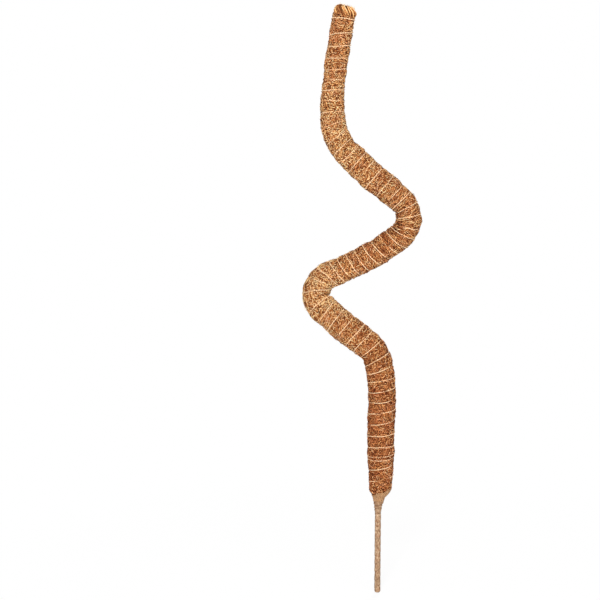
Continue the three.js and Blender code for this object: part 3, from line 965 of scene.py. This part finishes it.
def add_knot(name, end, beyond, body, node):
    """An overhand knot on the end of the twine, lying on the mat, its tail slanting away."""
    place = wound_line[end]
    out = wound_out[end]
    ahead = beyond * wound_ahead[end]
    up = np.cross(ahead, out)
    t = np.linspace(-KNOT_REACH, KNOT_REACH, num=90)
    bends = (t**3 - 3 * t, t**4 - 4 * t**2, t**5 - 10 * t)
    along, rise, stand = [scale * part for scale, part in zip(KNOT_SCALE, bends)]
    centre = place + KNOT_PLACE[0] * ahead + KNOT_PLACE[1] * out
    line = centre + along[:, None] * ahead + rise[:, None] * up + stand[:, None] * out
    share = np.linspace(0, 1, num=14)[1:, None]
    slant = TAIL_SLANT[0] * ahead + TAIL_SLANT[1] * up
    tail = line[-1] + share * TAIL_LENGTH * slant - TAIL_DROOP * share * out
    lead = line[0] + (place - line[0]) * np.linspace(1, 0, num=8)[:-1, None]
    line = np.concatenate([lead, line, tail])
    shape = Shape()
    shape.strands(line[None], np.broadcast_to(out, line.shape)[None], KNOT_RADIUS, sides=8)
    ride_on(shape.make(name, twine), body, "twine", node)


add_knot("lower_overhand_knot", 0, -1, BODIES[0], "twine_knot_lower")
add_knot("top_overhand_knot", -1, 1, BODIES[-1], "twine_knot_top")

# Tuft: the mat's ragged end, folded in above the last turn, with a rolled fold on the right
TUFT_SWELL = 0.3
TUFT_LUMP = 0.2
TUFT_DOME = 0.6
DOME_POWER = 2.2
TUFT_SIDES = 48
TUFT_SHIFT = 0.6
TUFT_SLOPE = 3.0
FOLD_ANGLE = -0.35
FOLD_WIDTH = 0.55
FOLD_RISE = 0.4
NOTCH_DEPTH = 1.5
GROOVE_DEPTH = 1.1
GROOVE_WIDTH = 0.16
GROOVE_ANGLE = -1.0
GROOVE_TURN = 0.9
tuft_lumps = uneven(seed=51, wavelength=7)


def off_angle(angle, middle):
    return (angle - middle + math.pi) % TURN - math.pi


def tuft_radius(way, angle):
    """A ragged dome that slopes down to the right, with a rolled fold there and a deep groove beside it."""
    share = np.clip((way - MAT_END) / TUFT_HEIGHT, 0, 1)
    off_fold = off_angle(angle, FOLD_ANGLE)
    right = np.clip(np.cos(off_fold), 0, 1)
    swell = mat_radius(MAT_END) + TUFT_SWELL * np.sin(math.pi * share) + TUFT_LUMP * tuft_lumps(way, angle)
    swell = swell - TUFT_SHIFT * np.cos(angle) * smooth(0, 0.3, share)
    swell = swell + np.clip(-np.cos(angle), 0, 1) * smooth(0.8, 0, share)
    fold = FOLD_RISE * hump(off_fold, 0, FOLD_WIDTH) * hump(share, middle=0.42, width=0.2)
    notch = NOTCH_DEPTH * right * hump(share, middle=0.06, width=0.14)
    slope = TUFT_SLOPE * right * smooth(0.5, 1.0, share)
    off_groove = off_angle(angle, GROOVE_ANGLE - GROOVE_TURN * share)
    groove = GROOVE_DEPTH * hump(off_groove, 0, GROOVE_WIDTH)
    groove = groove * smooth(0, 0.15, share) * smooth(0.95, 0.7, share)
    dome = np.sqrt(1 - TUFT_DOME * np.clip(2 * share - 1, 0, 1) ** DOME_POWER)
    return (swell + fold - notch - slope) * dome - groove


tuft_ways = evenly(MAT_END - 1.5, TOP_END - 1.2, step=0.6)
shape = Shape()
shape.skin(rings_of(tuft_ways, TUFT_SIDES, tuft_radius))
made = ride_on(shape.make("coir_tuft_fold", tuft_coir), BODIES[-1], "coir", "coir_tuft")

# Locks of fibres that lean round the tuft
TUFT_LOCKS = 30
TUFT_FIBRES = 230
TUFT_POINTS = 7
LOCK_SIDES = 4
LOCK_SHORT = 0.7
LOCK_RAGGED = 0.6
LOCK_ASIDE = 0.35
LOCK_WIDTH = 0.12
STRAND_LEAN = 0.02
STRAND_TINT = 0.1
STRAND_TAPER = np.array((0.7, 1, 1, 1, 1, 0.9, 0.5))
ROOT_DARK = 0.3
TIP_PALE = 0.2
rng = np.random.default_rng(52)
share = np.linspace(0, 1, TUFT_POINTS)[None, :]
low = MAT_END + rng.uniform(-2.5, 1.5, TUFT_FIBRES)[:, None]
high = TOP_END - LOCK_SHORT + rng.normal(0, LOCK_RAGGED, TUFT_FIBRES)[:, None]
tuft_way = low + (high - low) * share
lock = rng.integers(0, TUFT_LOCKS, TUFT_FIBRES)
lock_lean = rng.normal(-0.95, 0.05, TUFT_LOCKS)
lock_tint = rng.uniform(0.03, 0.97, TUFT_LOCKS)
lock_rosy = rng.uniform(-0.4, 0.1, TUFT_LOCKS)
lean = (lock_lean[lock] + rng.normal(0, STRAND_LEAN, TUFT_FIBRES))[:, None]
lock_place = np.arange(TUFT_LOCKS) + rng.normal(0, LOCK_ASIDE, TUFT_LOCKS)
root = (lock_place[lock] + rng.normal(0, LOCK_WIDTH, TUFT_FIBRES))[:, None] * TURN / TUFT_LOCKS
tuft_angle = root + lean * (tuft_way - MAT_END) / TUFT_HEIGHT
drawn_in = 1 - rng.uniform(0.0, 0.3, TUFT_FIBRES)[:, None] * smooth(0.8, 1.0, share)
depth = rng.uniform(-0.1, 0.45, TUFT_FIBRES)[:, None]
tucked = 0.6 * (1 - smooth(0, 0.25, share))
strand_radius = (tuft_radius(tuft_way, tuft_angle) + depth - tucked) * drawn_in
tuft_line, tuft_out = around(tuft_way, tuft_angle, strand_radius)
tuft_tint = (lock_tint[lock] + rng.normal(0, STRAND_TINT, TUFT_FIBRES))[:, None]
tuft_tint = tuft_tint - ROOT_DARK * (1 - smooth(0, 0.5, share))
tuft_tint = np.clip(tuft_tint + TIP_PALE * smooth(0.6, 1, share), 0.02, 1)
tuft_thick = rng.uniform(0.2, 0.3, TUFT_FIBRES)[:, None] * STRAND_TAPER
shape = Shape()
shape.strands(tuft_line, tuft_out, tuft_thick, LOCK_SIDES, tint=tuft_tint, golden=1, rosy=lock_rosy[lock])

# Fibres across the tuft's top
CROWN_FIBRES = 50
CROWN_RADIUS = 3.4
CROWN_BELOW = 0.9
CROWN_RISE = (-0.5, 0.9)
CROWN_DOME = 0.035
reach = CROWN_RADIUS * np.sqrt(rng.random(CROWN_FIBRES))[:, None]
bearing = rng.uniform(0, TURN, CROWN_FIBRES)[:, None]
lies = rng.uniform(0, math.pi, CROWN_FIBRES)[:, None]
half = rng.uniform(1.5, 3.2, CROWN_FIBRES)[:, None]
step = np.linspace(-1, 1, TUFT_POINTS)[None, :]
crown_x = reach * np.cos(bearing) + half * step * np.cos(lies)
crown_y = reach * np.sin(bearing) + half * step * np.sin(lies)
crown_reach = np.hypot(crown_x, crown_y)
crown_rise = rng.uniform(*CROWN_RISE, CROWN_FIBRES)[:, None]
crown_way = TOP_END - CROWN_BELOW + crown_rise - CROWN_DOME * crown_reach**2
crown_line = around(crown_way, np.arctan2(crown_y, crown_x), crown_reach)[0]
crown_up = np.broadcast_to(course_at(np.array(TOP_END))[1], crown_line.shape)
crown_tint = np.clip(rng.normal(0.5, 0.2, CROWN_FIBRES), 0.1, 1)
shape.strands(crown_line, crown_up, 0.22, LOCK_SIDES, tint=crown_tint, golden=0.8, rosy=0.2)

# Short pale hairs that stand up round the tuft's top
TOP_HAIRS = 60
TOP_HAIR_BELOW = 2.2
TOP_HAIR_SUNK = 1.2
TOP_HAIR_TURN = (-0.12, 0.1)
TOP_HAIR_LEAN = 0.8
TOP_HAIR_RADIUS = 0.12
TOP_HAIR_TIP = 0.4
top_angle = rng.uniform(0, TURN, TOP_HAIRS)[:, None]
top_root = rng.uniform(0.5, 0.9, TOP_HAIRS)[:, None] * mat_radius(MAT_END)
top_tall = rng.uniform(0.8, 2.4, TOP_HAIRS)[:, None]
top_way = TOP_END - TOP_HAIR_BELOW + (TOP_HAIR_SUNK + top_tall) * share
top_angle = top_angle + rng.normal(*TOP_HAIR_TURN, TOP_HAIRS)[:, None] * share
top_line, top_out = around(top_way, top_angle, top_root - TOP_HAIR_LEAN * share)
top_thick = TOP_HAIR_RADIUS * np.linspace(1, TOP_HAIR_TIP, TUFT_POINTS)[None, :]
top_tint = rng.uniform(0.75, 1, TOP_HAIRS)
shape.strands(top_line, top_out, top_thick, FIBRE_SIDES, tint=top_tint, golden=0.6, rosy=0)
ride_on(shape.make("coir_tuft_fibres", tuft_fibre), BODIES[-1], "coir")

# Jute collar: cloth gathered round the neck, its upper edge slanting up to the right
COLLAR_LOW = -5
COLLAR_MIDDLE = 14.6
COLLAR_SLANT = 4.6
COLLAR_HIGHEST = -0.12
COLLAR_FRAYS = ((0.35, 7, 1), (0.25, 17, 0))
COLLAR_NECK = (3.2, 5.3)
NECK_POWER = 1.7
COLLAR_FULLER = 0.5
COLLAR_ASIDE = 0.35
COLLAR_BULGE = 0.8
COLLAR_FOLD = 0.26
COLLAR_CLOTH = 0.7
COLLAR_THIN = 0.1
COLLAR_SIDES = 96
COLLAR_ROWS = 34
THREADS_ROUND = 48
THREAD_PITCH = 0.85
WOUND_PITCH = 3.1
WOUND_RISE = 0.32
WOUND_WAVER = 0.8
WOUND_LOBES = 3
WOUND_ENDS = (7, 3)
# The collar's darker, redder colour: a share over all of it as its tone, and more in the wrapping's hollows
# as painted shade.
HOLLOW_SHARE = 0.5
HOLLOW_SHADE_WOUND = 0.7
WARM_ENDS = (1, 9)
wrinkles = uneven(seed=61, wavelength=40, most_round=11)


def wound(way, angle):
    """Ridges of the wrapping that holds the collar to the stake, from -1 in the hollows to 1 on top."""
    waver = WOUND_WAVER * np.sin(WOUND_LOBES * angle + way)
    ridges = np.sin(TURN * way / WOUND_PITCH - angle + waver)
    return ridges * smooth(COLLAR_LOW, COLLAR_LOW + 2, way) * smooth(*WOUND_ENDS, way)


def collar_radius(way, angle):
    """Outside of the collar: close on the stake below, over the gathered mat above, with soft folds."""
    share = np.clip((way - COLLAR_LOW) / (MAT_START - COLLAR_LOW), 0, 1)
    neck = COLLAR_NECK[0] + (COLLAR_NECK[1] - COLLAR_NECK[0]) * share**NECK_POWER
    over = np.where(way < MAT_START, neck, mat_radius(way) + COLLAR_NECK[1] - GATHER_RADIUS)
    folds = COLLAR_FOLD * wrinkles(0.25 * way, angle) * smooth(2, 9, way)
    fuller = (COLLAR_FULLER + COLLAR_ASIDE * np.cos(angle)) * hump(way, middle=6, width=5)
    fuller = fuller + COLLAR_BULGE * root_bulge(way, angle)
    return over + smooth(COLLAR_LOW, 2, way) * folds + WOUND_RISE * wound(way, angle) + fuller


collar_share = np.linspace(0, 1, COLLAR_ROWS)[:, None]
collar_angle = TURN * np.arange(COLLAR_SIDES)[None, :] / COLLAR_SIDES
collar_high = COLLAR_MIDDLE + COLLAR_SLANT * np.cos(collar_angle - COLLAR_HIGHEST)
collar_high = collar_high + waves_at(collar_angle, COLLAR_FRAYS)
collar_way = COLLAR_LOW + (collar_high - COLLAR_LOW) * collar_share
collar_out = collar_radius(collar_way, collar_angle)
collar_cloth = COLLAR_CLOTH * (COLLAR_THIN + (1 - COLLAR_THIN) * smooth(COLLAR_LOW, 4, collar_way))
outer = around(collar_way, collar_angle, collar_out)[0]
inner = around(collar_way, collar_angle, collar_out - collar_cloth)[0]
# Redder tone over the collar, with painted shade in the wrapping's hollows.
collar_hollow_tone_and_shade = HOLLOW_SHARE - HOLLOW_SHADE_WOUND * wound(collar_way, collar_angle)
shape = Shape()
shape.wall(
    outer,
    inner,
    threads_across=THREADS_ROUND * collar_angle / TURN,
    threads_along=collar_way / THREAD_PITCH,
    hollow=collar_hollow_tone_and_shade * smooth(COLLAR_LOW - 1, COLLAR_LOW + 7, collar_way),
    warmth=smooth(*WARM_ENDS, collar_way),
)
made = ride_on(shape.make("jute_collar_cloth", jute), BODIES[0], "jute", "jute_collar")

# Jute tape: one strip wound up the stake, each turn lapping the one below
TAPE_WIDTH = 14
TAPE_STEPS = 40
TAPE_COLUMNS = 15
TAPE_ABOVE_SOIL = 2
TAPE_WANDER = ((0.35, 0.43, 1), (0.2, 1.7, 0))
TAPE_STEP = 0.16
TAPE_LAP = 5.5
TAPE_UNEVEN = 0.04
TAPE_FLUFF = 0.2
TAPE_INSIDE = 0.02
TIP_RADIUS = 1.5
TIP_ROUNDING = 2
TIP_CLEAR = 0.02
TIP_LAYER = 0.2
tape_turns = (STAKE_LENGTH + TAPE_ABOVE_SOIL) / TAPE_PITCH
tape_rows = int(TAPE_STEPS * (tape_turns + 2))
tape_turned = np.linspace(-TURN * TAPE_WIDTH / TAPE_PITCH, TURN * tape_turns, tape_rows)[:, None]
tape_across = np.linspace(0, TAPE_WIDTH, TAPE_COLUMNS)[None, :]
tape_way = -STAKE_LENGTH + TAPE_PITCH * tape_turned / TURN + tape_across
tape_way = tape_way + waves_at(tape_turned, TAPE_WANDER)
tape_way = np.clip(tape_way, -STAKE_LENGTH + TIP_CLEAR, TAPE_ABOVE_SOIL)
rounding = np.sqrt(1 - (1 - np.clip((tape_way + STAKE_LENGTH) / TIP_ROUNDING, 0, 1)) ** 2)


def tape_radius(layer):
    """Radius of one face of the tape: out over the turn below, in under the next, round at the tip."""
    lapped = TAPE_THICKNESS - TAPE_STEP * smooth(TAPE_LAP - 4, TAPE_LAP + 1.5, tape_across)
    under = (TAPE_THICKNESS - TAPE_STEP) * smooth(TAPE_LAP + 1.5, TAPE_LAP + 3, tape_across)
    wind = TAPE_UNEVEN * np.sin(0.9 * tape_turned + 0.4 * tape_across)
    tip = TIP_RADIUS + TIP_LAYER * layer
    return tip + rounding * (TAPE_BORE + lapped - under + wind + layer - tip)


outside = around(tape_way, tape_turned, tape_radius(TAPE_THICKNESS + TAPE_FLUFF))[0]
inside = around(tape_way, tape_turned, tape_radius(TAPE_INSIDE))[0]
shape = Shape()
shape.skin(
    np.concatenate([inside, outside[:, ::-1]], 1),
    threads_across=np.concatenate([tape_across, tape_across[:, ::-1]], 1) / THREAD_PITCH,
    threads_along=tape_turned * TAPE_BORE / THREAD_PITCH,
    hollow=0.0,
    warmth=0.0,
)

# The tape's end, folded over the tip
TIP_FOLD_SIDES = 24
TIP_FOLD_THREADS = 2
TIP_FOLD_CLEAR = 0.001
TIP_FOLD_UP = 1.2
TIP_FOLD_OUT = 0.5
fold_rings = np.array((0.0, 0.5, 1.0))[:, None]
fold_angle = TURN * np.arange(TIP_FOLD_SIDES)[None, :] / TIP_FOLD_SIDES
fold_way = -STAKE_LENGTH + TIP_FOLD_CLEAR + TIP_FOLD_UP * fold_rings
shape.skin(
    around(fold_way, fold_angle, TIP_RADIUS + TIP_FOLD_OUT * np.sqrt(fold_rings))[0],
    threads_across=TIP_FOLD_THREADS * fold_angle,
    threads_along=TIP_FOLD_THREADS * fold_rings,
    hollow=0.3,
    warmth=0.0,
)
made = ride_on(shape.make("stake_wrap_tape", tape), BODIES[0], "jute", "stake_wrap")

# Floor, in metres from here on
FLOOR_HALF = 6.0
FLOOR_SHADOW = 0.1
SHADOW_REACH = 0.45
FLOOR_GREYS = ((0.9, 0.9, 0.9, 1), (0.94, 0.94, 0.94, 1))
WHITE = (1, 1, 1, 1)


def floor_paint():
    """White that shows as white to the camera, and takes the pole's shadow near the pole."""
    paint = Paint("floor_white")
    place = paint.node("ShaderNodeTexCoord").outputs["Object"]
    grain = paint.noise(6.0, detail=2.0, place=place)
    paint.finish(paint.mix(paint.spread(grain, 0.3, 0.7), *FLOOR_GREYS), 0.9, specular=0.1)
    glow = paint.node("ShaderNodeEmission", {"Color": WHITE})
    far = paint.node("ShaderNodeVectorMath", {0: place}, operation="LENGTH").outputs["Value"]
    white = paint.spread(far, 0.02, SHADOW_REACH, 1 - FLOOR_SHADOW, 1.0)
    share = paint.times(paint.seen(), white)
    plain = paint.nodes["Principled BSDF"]
    both = paint.node("ShaderNodeMixShader", {0: share, 1: plain.outputs[0], 2: glow.outputs[0]})
    paint.put(paint.nodes["Material Output"].inputs["Surface"], both.outputs[0])
    return paint.block


floor_mesh = bpy.data.meshes.new("floor")
floor_ends = (-FLOOR_HALF, FLOOR_HALF)
floor_mesh.from_pydata([(x, y, 0) for y in floor_ends for x in floor_ends], [], [(0, 1, 3, 2)])
floor_mesh.materials.append(floor_paint())
floor = add_object("floor", floor_mesh)
floor.location = (0, 0, -STAKE_LENGTH * MM)

# Light and camera
AMBIENT = 0.16
AIM = (-0.015, 0.0, 0.2)
CAMERA_PLACE = (-0.074, -1.209, 0.37)
CAMERA_PITCH = 8.124
room = Paint("white_room", bpy.data.worlds)
bpy.context.scene.world = room.block
sky = room.nodes["Background"]
room.put(sky.inputs["Color"], WHITE)
room.put(sky.inputs["Strength"], room.spread(room.seen(), 0.0, 1.0, AMBIENT, 1.0))


def soft_light(name, place, size, power):
    lamp = bpy.data.lights.new(name, "AREA")
    lamp.shape = "DISK"
    lamp.size = size
    lamp.energy = power
    made = add_object(name, lamp)
    made.location = place
    aim = add_object(name + "_aim", None)
    aim.location = AIM
    follow = made.constraints.new("TRACK_TO")
    follow.target = aim
    follow.track_axis = "TRACK_NEGATIVE_Z"
    follow.up_axis = "UP_Y"


soft_light("key_light", place=(-0.3, -1.7, 0.95), size=0.5, power=43)
soft_light("fill_light", place=(0.9, -1.5, 0.5), size=0.9, power=7)
soft_light("back_light", place=(0.5, 1.9, 1.2), size=1.0, power=34)

camera_data = bpy.data.cameras.new("camera")
camera_data.lens = 79
camera_data.clip_end = 40
camera = add_object("camera", camera_data)
camera.location = CAMERA_PLACE
camera.rotation_euler = (math.radians(90 - CAMERA_PITCH), 0, 0)
bpy.context.scene.camera = camera

bpy.context.scene.view_settings.view_transform = "Standard"

bpy.context.view_layer.update()
